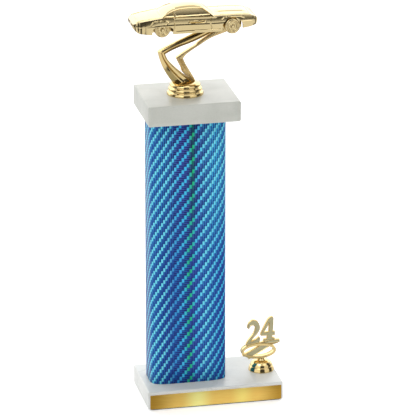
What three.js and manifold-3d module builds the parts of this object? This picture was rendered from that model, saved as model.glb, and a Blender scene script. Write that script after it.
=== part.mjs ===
// Column trophy: a marble base and lid clamped on a patterned column by one threaded rod, with a
// car figure on a swept riser above and a year emblem beside the column.
// Millimetres, +Z up, the front faces -Y. The origin is the middle of the base's underside.

import * as THREE from "three";
import { mergeVertices } from "three/addons/utils/BufferGeometryUtils.js";
import Module from "manifold-3d";

const wasm = await Module();
wasm.setup();

// ---------------------------------------------------------------- driving dimensions

const FELT = { width: 147, depth: 80, thick: 1, corner: 3 };
const BASE = { width: 151, depth: 84, thick: 20.5, corner: 2, ease: 1.5 };
const LID = { x: -23, width: 101, depth: 84, thick: 22.5, corner: 2.2, ease: 1.7 };
const COLUMN = { width: 85, depth: 44, height: 305, wall: 2, squareness: 5 };
const PLATE = { middle: 10, width: 147, height: 16.3, thick: 0.5, tape: 0.25, corner: 0.5 };
const ROD = { x: -25, radius: 3.175, hole: 3.75 };
const TRIM = { x: 60.5, screw: 2.4, hole: 3 };
const CLEAR = 0.3;

const BASE_BOTTOM = FELT.thick;
const BASE_TOP = BASE_BOTTOM + BASE.thick;
const COLUMN_TOP = BASE_TOP + COLUMN.height;
const LID_TOP = COLUMN_TOP + LID.thick;

// Pockets in the base's underside that hide the nut and the screw head.
const NUT_POCKET = { radius: 13, depth: 9 };
const SCREW_POCKET = { radius: 8, depth: 8 };

const RISER = { foot: 13.5, height: 73.7, thick: 7, spineThick: 9, smooth: 5 };
const CAR = { offset: 9.8, wheelbase: 76, axle: 77.7, halfWidth: 21, wall: 2 };
const WHEEL = { radius: 8.4, thick: 5 };
const FRONT_ARCH = { halfWidth: 11.3, top: 8.9, wheelFace: 20.4 };
const REAR_ARCH = { halfWidth: 11.3, top: 4.9, wheelFace: 18.6 };
const WHEEL_WELL = 10.2;
const CHASSIS = { length: 94, bottom: -4, thick: 2 };

const HIDDEN_SIDES = 16;
const ROUND_SIDES = 36;

// ---------------------------------------------------------------- materials

const metal = (color, roughness) => new THREE.MeshStandardMaterial({ color, roughness, metalness: 1 });
const dull = (color, roughness) => new THREE.MeshStandardMaterial({ color, roughness, metalness: 0 });

const MARBLE = dull(0xe6e6e2, 0.4);
const FELT_GREEN = dull(0x23402f, 0.95);
const HOLOGRAM = new THREE.MeshStandardMaterial({ color: 0x2f74bd, roughness: 0.35, metalness: 0.5 });
const GOLD = metal(0xe9d08c, 0.15);
const SATIN_GOLD = metal(0xe3c988, 0.35);
const PLATE_GOLD = metal(0xd0a54c, 0.3);
const TAPE = dull(0xf2f2ee, 0.8);
const STEEL = metal(0xb9bcc0, 0.35);
const BRASS = metal(0xc9a45a, 0.35);
const WHITE_PLASTIC = dull(0xe9e9e6, 0.5);

// ---------------------------------------------------------------- geometry helpers

const trophy = new THREE.Group();

// A closed three.js geometry as a manifold-3d solid.
function solid(geometry) {
  const bare = geometry.index ? geometry.toNonIndexed() : geometry.clone();
  bare.deleteAttribute("normal");
  bare.deleteAttribute("uv");
  const merged = mergeVertices(bare, 1e-4);
  return new wasm.Manifold(new wasm.Mesh({
    numProp: 3,
    vertProperties: merged.attributes.position.array,
    triVerts: new Uint32Array(merged.index.array),
  }));
}

// A manifold-3d solid as a three.js geometry.
function geometryOf(manifold) {
  const { vertProperties, triVerts } = manifold.getMesh();
  const geometry = new THREE.BufferGeometry();
  geometry.setAttribute("position", new THREE.BufferAttribute(vertProperties, 3));
  geometry.setIndex(new THREE.BufferAttribute(triVerts, 1));
  geometry.computeVertexNormals();
  return geometry;
}

function addPart(parent, name, geometry, material) {
  const mesh = new THREE.Mesh(geometry, material);
  mesh.name = name;
  parent.add(mesh);
  return mesh;
}

function addGroup(parent, x, z) {
  const group = new THREE.Group();
  group.position.set(x, 0, z);
  parent.add(group);
  return group;
}

// An outline seen from above, raised from z = bottom, with an optional eased edge.
function raise(shape, bottom, height, ease = 0) {
  const geometry = new THREE.ExtrudeGeometry(shape, {
    depth: height - 2 * ease,
    bevelEnabled: ease > 0,
    bevelSize: ease,
    bevelOffset: -ease,
    bevelThickness: ease,
    bevelSegments: 2,
    curveSegments: 4,
  });
  return geometry.translate(0, 0, bottom + ease);
}

// An outline in the XZ plane, given thickness along Y about y = middle.
function widen(shape, thick, { middle = 0, steps = 5 } = {}) {
  const geometry = new THREE.ExtrudeGeometry(shape, { depth: thick, bevelEnabled: false, curveSegments: steps });
  return geometry.translate(0, 0, -thick / 2).rotateX(Math.PI / 2).translate(0, middle, 0);
}

// A solid of revolution about Z from [radius, z] pairs.
function turn(profile, sides = ROUND_SIDES) {
  const points = profile.map(([r, z]) => new THREE.Vector2(r, z));
  return new THREE.LatheGeometry(points, sides).rotateX(Math.PI / 2);
}

// A closed ring of revolution: the last point joins the first.
const turnRing = (profile, sides) => turn([...profile, profile[0]], sides);

// A plain cylinder along Z.
function post(radius, bottom, top, sides = HIDDEN_SIDES) {
  const geometry = new THREE.CylinderGeometry(radius, radius, top - bottom, sides);
  return geometry.rotateX(Math.PI / 2).translate(0, 0, (bottom + top) / 2);
}

// A plain cylinder along Y, centred at (x, z).
function bar(radius, x, z, from, to, sides = HIDDEN_SIDES) {
  const geometry = new THREE.CylinderGeometry(radius, radius, to - from, sides);
  return geometry.translate(0, (from + to) / 2, 0).translate(x, 0, z);
}

function box(x0, x1, y0, y1, z0, z1) {
  const geometry = new THREE.BoxGeometry(x1 - x0, y1 - y0, z1 - z0);
  return geometry.translate((x0 + x1) / 2, (y0 + y1) / 2, (z0 + z1) / 2);
}

function roundedRectangle(width, depth, corner) {
  const x = width / 2 - corner;
  const y = depth / 2 - corner;
  const shape = new THREE.Shape();
  shape.absarc(x, y, corner, 0, Math.PI / 2);
  shape.absarc(-x, y, corner, Math.PI / 2, Math.PI);
  shape.absarc(-x, -y, corner, Math.PI, 1.5 * Math.PI);
  shape.absarc(x, -y, corner, 1.5 * Math.PI, 2 * Math.PI);
  return shape;
}

// The column's crowned section, a superellipse, set in by a margin.
function crownedSection(margin, steps = 56) {
  const power = 2 / COLUMN.squareness;
  const bulge = (value, half) => Math.sign(value) * Math.abs(value) ** power * (half - margin);
  return Array.from({ length: steps }, (_, i) => {
    const angle = (i / steps) * 2 * Math.PI;
    return new THREE.Vector2(
      bulge(Math.cos(angle), COLUMN.width / 2),
      bulge(Math.sin(angle), COLUMN.depth / 2),
    );
  });
}

const vectors = (pairs) => pairs.map(([x, z]) => new THREE.Vector2(x, z));

// A closed outline made of smooth stretches that meet at corners. Each stretch starts where the last ended.
function outline(stretches) {
  const path = new THREE.Shape();
  path.moveTo(...stretches[0][0]);
  stretches[0] = stretches[0].slice(1);
  for (const stretch of stretches) {
    if (stretch.length === 1) path.lineTo(...stretch[0]);
    else path.splineThru(vectors(stretch));
  }
  return path;
}

// Cuts an opening drawn clockwise out of an outline drawn clockwise.
function pierce(shape, opening, steps) {
  shape.holes.push(new THREE.Path(opening.getPoints(steps).reverse()));
  return shape;
}

// A skin through cross-sections along X, each a closed list of [y, z], with flat ends.
function loft(stations) {
  const count = stations[0].section.length;
  const positions = stations.flatMap(({ x, section }) => section.flatMap(([y, z]) => [x, y, z]));
  const faces = [];
  for (let s = 0; s + 1 < stations.length; s++) {
    for (let i = 0; i < count; i++) {
      const a = s * count + i;
      const b = s * count + ((i + 1) % count);
      faces.push(a, b, a + count, b, b + count, a + count);
    }
  }
  const last = (stations.length - 1) * count;
  for (let i = 1; i + 1 < count; i++) {
    faces.push(0, i + 1, i);
    faces.push(last, last + i, last + i + 1);
  }
  const geometry = new THREE.BufferGeometry();
  geometry.setAttribute("position", new THREE.Float32BufferAttribute(positions, 3));
  geometry.setIndex(faces);
  return geometry;
}

// A function that runs straight between [x, value] pairs.
function through(pairs) {
  return (x) => {
    const next = pairs.findIndex(([px]) => px >= x);
    if (next <= 0) return pairs[0][1];
    const [x0, v0] = pairs[next - 1];
    const [x1, v1] = pairs[next];
    return THREE.MathUtils.lerp(v0, v1, (x - x0) / (x1 - x0));
  };
}

// ---------------------------------------------------------------- stand: base, column and lid

function makeStand() {
  addPart(trophy, "felt_pad", raise(roundedRectangle(FELT.width, FELT.depth, FELT.corner), 0, FELT.thick), FELT_GREEN);

  const slab = solid(raise(roundedRectangle(BASE.width, BASE.depth, BASE.corner), BASE_BOTTOM, BASE.thick, BASE.ease))
    .subtract(solid(post(ROD.hole, 0, BASE_TOP + 5).translate(ROD.x, 0, 0)))
    .subtract(solid(post(NUT_POCKET.radius, 0, BASE_BOTTOM + NUT_POCKET.depth, 24).translate(ROD.x, 0, 0)))
    .subtract(solid(post(TRIM.hole, 0, BASE_TOP + 5).translate(TRIM.x, 0, 0)))
    .subtract(solid(post(SCREW_POCKET.radius, 0, BASE_BOTTOM + SCREW_POCKET.depth, 24).translate(TRIM.x, 0, 0)));
  addPart(trophy, "base_slab", geometryOf(slab), MARBLE);

  const lid = solid(raise(roundedRectangle(LID.width, LID.depth, LID.corner), 0, LID.thick, LID.ease))
    .subtract(solid(post(ROD.hole, -5, LID.thick + 5).translate(ROD.x - LID.x, 0, 0)));
  addPart(addGroup(trophy, LID.x, COLUMN_TOP), "lid_slab", geometryOf(lid), MARBLE);
}

// A blank gold plate held on the base's front face by a film of tape.
function makeNamePlate() {
  const front = -BASE.depth / 2;
  const face = roundedRectangle(PLATE.width, PLATE.height, PLATE.corner);
  const sheet = (thick, back) => widen(face, thick, { middle: back - thick / 2 }).translate(0, 0, PLATE.middle);
  addPart(trophy, "name_plate_tape", sheet(PLATE.tape, front), TAPE);
  addPart(trophy, "name_plate", sheet(PLATE.thick, front - PLATE.tape), PLATE_GOLD);
}

function makeColumn() {
  const column = addGroup(trophy, ROD.x, BASE_TOP);
  const wall = new THREE.Shape(crownedSection(0));
  wall.holes.push(new THREE.Path(crownedSection(COLUMN.wall)));
  addPart(column, "column_tube", raise(wall, 0, COLUMN.height), HOLOGRAM);

  // Moulded end plugs keep the tube centred on the rod: a web with a rim turned into the tube.
  const web = 2.5;
  const rim = 9;
  const margin = COLUMN.wall + CLEAR;
  const rodHole = ROD.radius + CLEAR;
  const plug = solid(raise(new THREE.Shape(crownedSection(margin, 28)), 0, rim))
    .subtract(solid(raise(new THREE.Shape(crownedSection(margin + 1.5, 28)), web, rim)))
    .add(solid(post(7, 1, rim)))
    .subtract(solid(post(rodHole, -1, rim + 1)));
  addPart(column, "column_plug_lower", geometryOf(plug), WHITE_PLASTIC);
  const upper = geometryOf(plug.rotate([180, 0, 0]));
  addPart(column, "column_plug_upper", upper.translate(0, 0, COLUMN.height), WHITE_PLASTIC);
}

// ---------------------------------------------------------------- tie rod and its fasteners

function makeTieRod() {
  const stack = addGroup(trophy, ROD.x, 0);
  const pocketTop = BASE_BOTTOM + NUT_POCKET.depth - 0.1;
  const washer = { outer: 11, thick: 1.5 };
  const nut = { acrossFlats: 11.1, thick: 5.5 };
  const bore = ROD.radius + 0.15;
  const washerBottom = pocketTop - washer.thick;
  const nutTop = washerBottom - 0.1;
  const nutBottom = nutTop - nut.thick;

  addPart(stack, "tie_rod", post(ROD.radius, BASE_BOTTOM + 1, LID_TOP + 11), STEEL);
  const ring = [[bore, washerBottom], [washer.outer, washerBottom], [washer.outer, pocketTop], [bore, pocketTop]];
  addPart(stack, "rod_washer", turnRing(ring, HIDDEN_SIDES), STEEL);
  const hexagon = post(nut.acrossFlats / 2 / Math.cos(Math.PI / 6), nutBottom, nutTop, 6);
  const nutSolid = solid(hexagon).subtract(solid(post(bore, nutBottom - 1, nutTop + 1)));
  addPart(stack, "rod_nut", geometryOf(nutSolid), STEEL);
}

// ---------------------------------------------------------------- riser: stepped foot and swept arms

// Hollow stepped foot with a boss that holds the threaded insert.
function makeRiserFoot(figure) {
  const rim = { outer: 20, inner: 18.2 };
  const steps = [
    [rim.outer, 0], [rim.outer, 1], [19.6, 2.6], [18.4, 4.2],
    [17.7, 4.6], [18.5, 5.6], [18.1, 7], [16.8, 8.6],
    [16.1, 9], [16.9, 9.9], [16.3, 11.4], [14.6, 12.9], [12.5, RISER.foot],
  ];
  const boss = { outer: 8, inner: 5.3, top: 9.8, bottom: 0.5 };
  const profile = [
    ...steps, [0, RISER.foot], [0, 11.8], [ROD.radius + CLEAR, 11.8], [ROD.radius + CLEAR, boss.top],
    [boss.inner, boss.top], [boss.inner, boss.bottom], [boss.outer, boss.bottom], [boss.outer, 9.5],
    [13, 10], [14.6, 7.5], [16, 4], [rim.inner, 0], [rim.outer, 0],
  ];
  const body = turn(profile.slice(0, -1).concat([[rim.outer, 0]]));
  addPart(figure, "riser_foot", body, GOLD);

  const insert = [[ROD.radius + 0.15, 0.5], [5, 0.5], [5, 9.5], [ROD.radius + 0.15, 9.5]];
  addPart(figure, "riser_insert", turnRing(insert, HIDDEN_SIDES), BRASS);
}

// Two arms that leave the foot together, bend at an elbow each and meet again under the car.
function sweptArms() {
  const outer = outline([
    [[-14, RISER.foot], [-18.8, 20.5], [-24.3, 30.3], [-28, 40], [-30.2, 49]],
    [[-27.5, 51.5]],
    [[-18, 55.5], [-8.5, 60], [1, 64], [12, 68], [24, RISER.height]],
    [[56, RISER.height]],
    [[47, 67.3], [37, 64.5], [27, 61], [17.5, 56], [8.2, 50.5], [1.2, 45], [-2.5, 40.5]],
    [[0, 34], [3.8, 27], [8.4, 19], [10.8, RISER.foot]],
  ]);
  const opening = outline([
    [[-6.3, 25], [-13.8, 32.7], [-20, 40.5], [-22.6, 47]],
    [[-16.6, 50.2], [-7.5, 54], [2.5, 57.3], [11.5, 60]],
    [[13.5, 59]],
    [[11, 55.8], [5, 52], [-4, 47], [-11.2, 42]],
    [[-8.6, 36.5], [-5.6, 30], [-4.8, 25.8]],
  ]);
  return pierce(outer, opening, RISER.smooth);
}

// The raised band that runs up the middle of the outer arm, past its elbow.
const armSpine = () => outline([
  [[-15.5, 17], [-22, 27.5], [-26.8, 38], [-28.6, 45.6], [-28.6, 48.4]],
  [[-26.2, 50.3]],
  [[-17.4, 54], [-7.8, 58.4], [2, 62.2], [13, 66], [30, 70.5]],
  [[31, 68]],
  [[14, 63.6], [3, 60.2], [-7, 56.2], [-16, 52.2], [-24, 48.6]],
  [[-23.9, 46.4], [-21.8, 40], [-16.2, 31.6], [-9.2, 23], [-5.5, 17]],
]);

const PEGS = { xs: [32, 46], radius: 2, height: 1.7 };

function makeRiserArms(figure) {
  let arms = solid(widen(sweptArms(), RISER.thick, { steps: RISER.smooth }))
    .add(solid(widen(armSpine(), RISER.spineThick, { steps: RISER.smooth })));
  for (const x of PEGS.xs) {
    arms = arms.add(solid(post(PEGS.radius, RISER.height - 3, RISER.height + PEGS.height).translate(x, 0, 0)));
  }
  addPart(figure, "riser_arms", geometryOf(arms), GOLD);
}

// ---------------------------------------------------------------- car

// Heights are above the wheel centres, lengths from midway between the axles, nose towards +X.
const shoulder = through([
  [-69, 4.5], [-66, 9], [-49, 12], [-38, 13.2], [-15, 13.2], [18, 12], [31, 12], [46, 11.6],
  [55, 11], [61, 9.8], [66, 6],
]);
const underside = through([
  [-69, 2], [-67.5, 0], [-64, -2.2], [-51, -4.3], [-29, -4.7], [27, -4.7], [50, -2.6], [62, -0.6], [66, 2],
]);
const halfWidth = through([
  [-69, 14], [-67.5, 17], [-63, 19.4], [-50, 20.8], [-20, CAR.halfWidth], [30, CAR.halfWidth], [50, 20.4],
  [61, 18.6], [66, 15],
]);
const roofLine = through([
  [-42, 12.5], [-39, 14.5], [-33, 18.4], [-27, 20.4], [-20, 22], [-6, 22.8], [6, 22], [19.5, 12.5],
]);

// The lower body's section: tucked sill, side crease, rounded shoulder and a crowned top.
function hullSection(x, inset) {
  const w = halfWidth(x) - inset;
  const low = underside(x) + (inset ? -4 : 0);
  const high = shoulder(x) - inset;
  const crease = low + 0.55 * (high - low);
  const half = [
    [0.9 * w, low], [w, low + 0.3 * (high - low)], [1.01 * w, crease], [0.97 * w, high - 0.8],
    [0.88 * w, high + 0.2], [0.45 * w, high + 0.9],
  ];
  const mirrored = half.map(([y, z]) => [-y, z]).reverse();
  return [...half, [0, high + 1.2], ...mirrored];
}

function cabinSection(x) {
  const top = roofLine(x);
  const sill = 10;
  const widthAt = (z) => 19.4 - 0.42 * (z - sill);
  const half = [[widthAt(sill), sill], [widthAt(top - 1.2), top - 1.2], [0.9 * widthAt(top), top]];
  const mirrored = half.map(([y, z]) => [-y, z]).reverse();
  return [...half, [0, top + 0.9], ...mirrored];
}

const stationsAt = (xs, section) => xs.map((x) => ({ x, section: section(x) }));
const AXLES = [
  { end: "rear", x: -CAR.wheelbase / 2, arch: REAR_ARCH },
  { end: "front", x: CAR.wheelbase / 2, arch: FRONT_ARCH },
];
const SIDES = [-1, 1];

// Both ends of a stretch of Y on one side of the car, lowest first.
const span = (side, near, far) => (side < 0 ? [-far, -near] : [near, far]);

function makeCarBody(car) {
  const hullXs = [-69, -67.5, -66, -63.5, -58, -49, -38, -15, 18, 31, 46, 55, 61, 63.5, 66];
  const cabinXs = [-42, -39, -33, -27, -20, -13, -6, 0, 6, 13, 19.5];
  const cavityXs = [-62.5, -49, -15, 18, 46, 59];
  let body = solid(loft(stationsAt(hullXs, (x) => hullSection(x, 0))))
    .add(solid(loft(stationsAt(cabinXs, cabinSection))))
    .subtract(solid(loft(stationsAt(cavityXs, (x) => hullSection(x, CAR.wall)))));
  for (const { x, arch } of AXLES) {
    for (const side of SIDES) {
      const outside = span(side, 12, 30);
      const inside = span(side, 12, arch.wheelFace + 0.4);
      const opening = bar(1, 0, 0, ...outside, 32).scale(arch.halfWidth, 1, arch.top).translate(x, 0, 0);
      body = body
        .subtract(solid(opening))
        .subtract(solid(box(x - arch.halfWidth, x + arch.halfWidth, ...outside, -12, -0.5)))
        .subtract(solid(bar(WHEEL_WELL, x, 0, ...inside, 24)));
    }
  }
  addPart(car, "car_body", geometryOf(body), GOLD);
}

// A floor plate inside the body, with a wheel house wall and a stub peg at each wheel.
function makeCarChassis(car) {
  const { length, bottom, thick } = CHASSIS;
  const half = CAR.halfWidth - CAR.wall - 3;
  const stub = 2.2;
  const well = FRONT_ARCH.halfWidth;
  let floor = solid(box(-length / 2, length / 2, -half, half, bottom, bottom + thick));
  for (const { x, arch } of AXLES) {
    for (const side of SIDES) {
      floor = floor
        .subtract(solid(box(x - well, x + well, ...span(side, 12, 30), bottom - 1, 10)))
        .add(solid(box(x - well, x + well, ...span(side, 9.5, 12), bottom, 7)))
        .add(solid(bar(stub, x, 0, ...span(side, 11, arch.wheelFace - 2.6))));
    }
  }
  for (const x of PEGS.xs) {
    const hole = post(PEGS.radius + CLEAR, bottom - 1, bottom + thick + 1);
    floor = floor.subtract(solid(hole.translate(x - CAR.offset, 0, 0)));
  }
  addPart(car, "car_chassis", geometryOf(floor), GOLD);
}

// A dished disc with a hub, its tyre shoulder rounded, turned about Z and laid to face -Y.
function wheelGeometry() {
  const { radius, thick } = WHEEL;
  const socket = 2.5;
  return turn([
    [socket, 0], [radius - 0.6, 0], [radius, 0.6], [radius, thick - 1], [radius - 0.8, thick - 0.1],
    [radius - 2, thick], [radius - 2.6, thick - 0.7], [2.6, thick - 0.7], [2.2, thick], [0, thick + 0.2],
    [0, 3.2], [socket, 3.2], [socket, 0],
  ], 24);
}

function makeWheels(car) {
  for (const { end, x, arch } of AXLES) {
    for (const side of SIDES) {
      const label = side < 0 ? "right" : "left";
      const wheel = addPart(car, `wheel_${end}_${label}`, wheelGeometry(), SATIN_GOLD);
      wheel.rotation.x = (-side * Math.PI) / 2;
      wheel.position.set(x, side * (arch.wheelFace - WHEEL.thick), 0);
    }
  }
}

function makeFigure() {
  const figure = addGroup(trophy, ROD.x, LID_TOP);
  makeRiserFoot(figure);
  makeRiserArms(figure);
  const car = addGroup(figure, CAR.offset, CAR.axle);
  makeCarBody(car);
  makeCarChassis(car);
  makeWheels(car);
}

// ---------------------------------------------------------------- year trim beside the column

const TRIM_DOME_TOP = 11;
const STEM_TOP = 14;

function makeTrimDome(trim) {
  const boss = { outer: 6.5, inner: 4.3, top: 8.8 };
  addPart(trim, "trim_dome", turn([
    [14.4, 0], [14.4, 0.8], [13.6, 2.2], [12.9, 4.6], [12.4, 4.8], [11.5, 7.4], [9.6, 10], [7, TRIM_DOME_TOP],
    [0, TRIM_DOME_TOP], [0, 9.5], [TRIM.screw + CLEAR, 9.5], [TRIM.screw + CLEAR, boss.top], [boss.inner, boss.top],
    [boss.inner, 0.5], [boss.outer, 0.5], [boss.outer, 8.6], [8.5, 8.2], [11, 4.5], [13, 0], [14.4, 0],
  ]), GOLD);
  const bore = TRIM.screw + 0.15;
  addPart(trim, "trim_insert", turnRing([[bore, 0.5], [4, 0.5], [4, 8.5], [bore, 8.5]], HIDDEN_SIDES), BRASS);
}

function digitTwo() {
  return outline([
    [[-14.4, 49.6], [-16.7, 51.7]],
    [[-15.7, 55.2], [-11.7, 60], [-6, 59.3], [-2, 52], [-3.7, 45.4], [-9.5, 38.6], [-11, 34.8]],
    [[-4, 37.6], [-3.2, 39.9]],
    [[-1.5, 38.2], [-2.5, 31]],
    [[-17.7, 29.5]],
    [[-17.9, 31.6], [-13.4, 38.9], [-8.5, 46.3], [-8, 52.5], [-11.4, 53.8], [-14.4, 49.6]],
  ]);
}

function digitFour() {
  const four = outline([
    [[12.4, 62.7], [13.4, 61]], [[13, 45]], [[15.2, 45]], [[15.3, 40.2]], [[12.2, 40]], [[12, 37.5]],
    [[15.2, 37]], [[15.2, 33]], [[2, 33]], [[2.5, 36.5]], [[6, 36.8]], [[6.2, 40.2]], [[-1, 40.8]],
    [[-1.5, 42.1]], [[2, 50.1], [6.5, 59.1], [9, 62], [12.4, 62.7]],
  ]);
  const eye = outline([[[8.5, 55.3], [8, 44.9]], [[3.2, 44.8]], [[4, 46.3], [7, 51.2], [8.5, 55.3]]]);
  return pierce(four, eye, 5);
}

// The ribbon that the digits stand on, with its right end raised.
const underline = () => outline([
  [[-17.7, 30.3], [-10, 31], [-2.5, 32.8], [6, 34.5], [17.4, 35]],
  [[20.6, 34.1]], [[20.4, 30.7]],
  [[13.4, 30.8], [4, 29.2], [-3.5, 28], [-15.2, 29.2]],
]);

// The ribbon that crosses the ring down to a fishtail end.
const fishtail = () => outline([
  [[12, 30.4], [-1.5, 29.6], [-4, 28.3], [-15.9, 21.8], [-22.1, 18.7]],
  [[-20.4, 17]], [[-16.7, 19]], [[-14.7, 13.1]],
  [[-4.5, 19.6], [6, 25.4], [13.5, 29]],
]);

function makeTrimEmblem(trim) {
  const ring = new THREE.Shape().absellipse(-3.4, 22.6, 19.8, 9.1, 0, 2 * Math.PI);
  ring.holes.push(new THREE.Path().absellipse(-3.4, 22.9, 17, 6.6, 0, 2 * Math.PI));
  const stem = [[0, TRIM_DOME_TOP], [4.6, TRIM_DOME_TOP], [3.2, 13], [3.4, STEM_TOP + 1], [0, STEM_TOP + 1]];
  const emblem = solid(widen(digitTwo(), 4))
    .add(solid(widen(digitFour(), 4)))
    .add(solid(widen(underline(), 5)))
    .add(solid(widen(fishtail(), 5.5)))
    .add(solid(widen(ring, 7, { steps: 20 })))
    .add(solid(turn(stem, HIDDEN_SIDES)));
  addPart(trim, "trim_emblem", geometryOf(emblem), GOLD);
}

// The screw comes up from its pocket in the base into the dome's insert.
function makeTrimFasteners() {
  const stack = addGroup(trophy, TRIM.x, 0);
  const pocketTop = BASE_BOTTOM + SCREW_POCKET.depth - 0.1;
  const washer = { outer: 6, thick: 1 };
  const head = { radius: 4.6, thick: 3 };
  const bottom = pocketTop - washer.thick;
  const bore = TRIM.screw + 0.15;
  const ring = [[bore, bottom], [washer.outer, bottom], [washer.outer, pocketTop], [bore, pocketTop]];
  addPart(stack, "trim_washer", turnRing(ring, HIDDEN_SIDES), STEEL);
  const headTop = bottom - 0.1;
  const slot = box(-head.radius, head.radius, -0.6, 0.6, headTop - head.thick - 1, headTop - head.thick + 1.2);
  const screw = solid(turn([
    [0, headTop - head.thick], [head.radius - 0.8, headTop - head.thick], [head.radius, headTop - 1.6],
    [head.radius, headTop], [TRIM.screw, headTop], [TRIM.screw, BASE_TOP + 7.5], [0, BASE_TOP + 7.5],
  ], HIDDEN_SIDES)).subtract(solid(slot));
  addPart(stack, "trim_screw", geometryOf(screw), STEEL);
}

function makeYearTrim() {
  const trim = addGroup(trophy, TRIM.x, BASE_TOP);
  makeTrimDome(trim);
  makeTrimEmblem(trim);
  makeTrimFasteners();
}

makeStand();
makeNamePlate();
makeColumn();
makeTieRod();
makeFigure();
makeYearTrim();

export default trophy;
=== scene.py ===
"""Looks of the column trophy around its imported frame.

Metres, +Z up, the front faces -Y. Shapes are drawn in millimetres and scaled once, in piece().
"""

import math

import bmesh
import bpy
import numpy as np
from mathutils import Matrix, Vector
from mathutils.geometry import delaunay_2d_cdt


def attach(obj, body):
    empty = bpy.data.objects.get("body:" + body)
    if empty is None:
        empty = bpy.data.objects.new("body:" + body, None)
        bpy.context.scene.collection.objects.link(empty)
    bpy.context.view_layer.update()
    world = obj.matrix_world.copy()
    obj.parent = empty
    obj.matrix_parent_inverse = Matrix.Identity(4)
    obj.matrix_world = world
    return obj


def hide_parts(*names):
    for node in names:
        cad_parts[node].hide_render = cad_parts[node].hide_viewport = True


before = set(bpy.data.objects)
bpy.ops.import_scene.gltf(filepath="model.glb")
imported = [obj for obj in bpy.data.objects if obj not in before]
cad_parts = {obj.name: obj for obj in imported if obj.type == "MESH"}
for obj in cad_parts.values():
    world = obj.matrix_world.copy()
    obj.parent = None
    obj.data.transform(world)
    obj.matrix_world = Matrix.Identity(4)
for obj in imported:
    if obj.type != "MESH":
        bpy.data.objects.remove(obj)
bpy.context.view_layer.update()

MM = 0.001

# ---------------------------------------------------------------- dimensions, in millimetres

ROD_X = -25.0
TRIM_X = 60.5
BASE_BOTTOM, BASE_TOP = 1.0, 21.5
LID_BOTTOM, LID_TOP = 326.5, 349.0

BASE = {"width": 151, "depth": 84, "corner": 2.0, "ease": 1.5}
LID = {"x": -23.0, "width": 101, "depth": 84, "corner": 2.2, "ease": 1.7}
COLUMN = {"width": 85, "depth": 44, "wall": 2.0, "squareness": 5.0}
PLATE = {"width": 147, "height": 16.3, "thick": 0.5, "back": -42.25, "middle": 10.0}

CAR_X = ROD_X + 9.8
CAR_Z = LID_TOP + 77.7
HALF_WHEELBASE = 38.0
FRONT_ARCH = {"half_width": 11.3, "top": 8.9, "wheel_face": 20.4}
REAR_ARCH = {"half_width": 11.3, "top": 4.9, "wheel_face": 18.6}
PEGS = (ROD_X + 32, ROD_X + 46)

# ---------------------------------------------------------------- materials


def srgb(red, green, blue):
    """A screen colour, 0 to 255, as the linear colour a shader takes."""
    def linear(value):
        value /= 255
        return value / 12.92 if value <= 0.04045 else ((value + 0.055) / 1.055) ** 2.4

    return (linear(red), linear(green), linear(blue), 1.0)


class Shader:
    """One procedural material, built node by node."""

    def __init__(self, name, **settings):
        self.material = bpy.data.materials.new(name)
        self.material.use_nodes = True
        self.tree = self.material.node_tree
        self.surface = self.tree.nodes["Principled BSDF"]
        for socket, value in settings.items():
            self.surface.inputs[socket.replace("_", " ").title().replace("Ior", "IOR")].default_value = value

    def feed(self, socket, value):
        if isinstance(value, bpy.types.NodeSocket):
            self.tree.links.new(value, socket)
        else:
            socket.default_value = value

    def add(self, kind, settings=None, **inputs):
        node = self.tree.nodes.new(kind)
        for key, value in (settings or {}).items():
            setattr(node, key, value)
        for key, value in inputs.items():
            self.feed(node.inputs[key], value)
        return node

    def place(self, stretch=(1, 1, 1)):
        """Where a point is on the object, in metres, stretched along each axis."""
        where = self.add("ShaderNodeTexCoord").outputs["Object"]
        return self.add("ShaderNodeMapping", Vector=where, Scale=stretch).outputs["Vector"]

    def math(self, operation, *values):
        node = self.add("ShaderNodeMath", {"operation": operation})
        for socket, value in zip(node.inputs, values):
            self.feed(socket, value)
        return node.outputs["Value"]

    def noise(self, scale, detail=2.0, vector=None, distortion=0.0):
        vector = vector or self.place()
        inputs = {"Vector": vector, "Scale": scale, "Detail": detail, "Distortion": distortion}
        return self.add("ShaderNodeTexNoise", **inputs).outputs["Fac"]

    def ramp(self, factor, stops, interpolation="LINEAR"):
        """stops are (position, colour) pairs."""
        node = self.add("ShaderNodeValToRGB", Fac=factor)
        node.color_ramp.interpolation = interpolation
        elements = node.color_ramp.elements
        while len(elements) < len(stops):
            elements.new(0.5)
        for element, (position, color) in zip(elements, stops):
            element.position = position
            element.color = color
        return node.outputs["Color"]

    def spread(self, factor, low, high):
        """factor, from 0 to 1, as a number from low to high."""
        inputs = {"Value": factor, "To Min": low, "To Max": high}
        return self.add("ShaderNodeMapRange", **inputs).outputs["Result"]

    def mix(self, factor, one, other, blend="MIX"):
        node = self.add("ShaderNodeMix", {"data_type": "RGBA", "blend_type": blend})
        self.feed(node.inputs["Factor"], factor)
        self.feed(node.inputs[6], one)
        self.feed(node.inputs[7], other)
        return node.outputs[2]

    def bump(self, height, distance, strength=1.0):
        node = self.add("ShaderNodeBump", Height=height, Distance=distance, Strength=strength)
        self.feed(self.surface.inputs["Normal"], node.outputs["Normal"])

    def finish(self, color=None, roughness=None):
        if color is not None:
            self.feed(self.surface.inputs["Base Color"], color)
        if roughness is not None:
            self.feed(self.surface.inputs["Roughness"], roughness)
        return self.material


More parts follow.
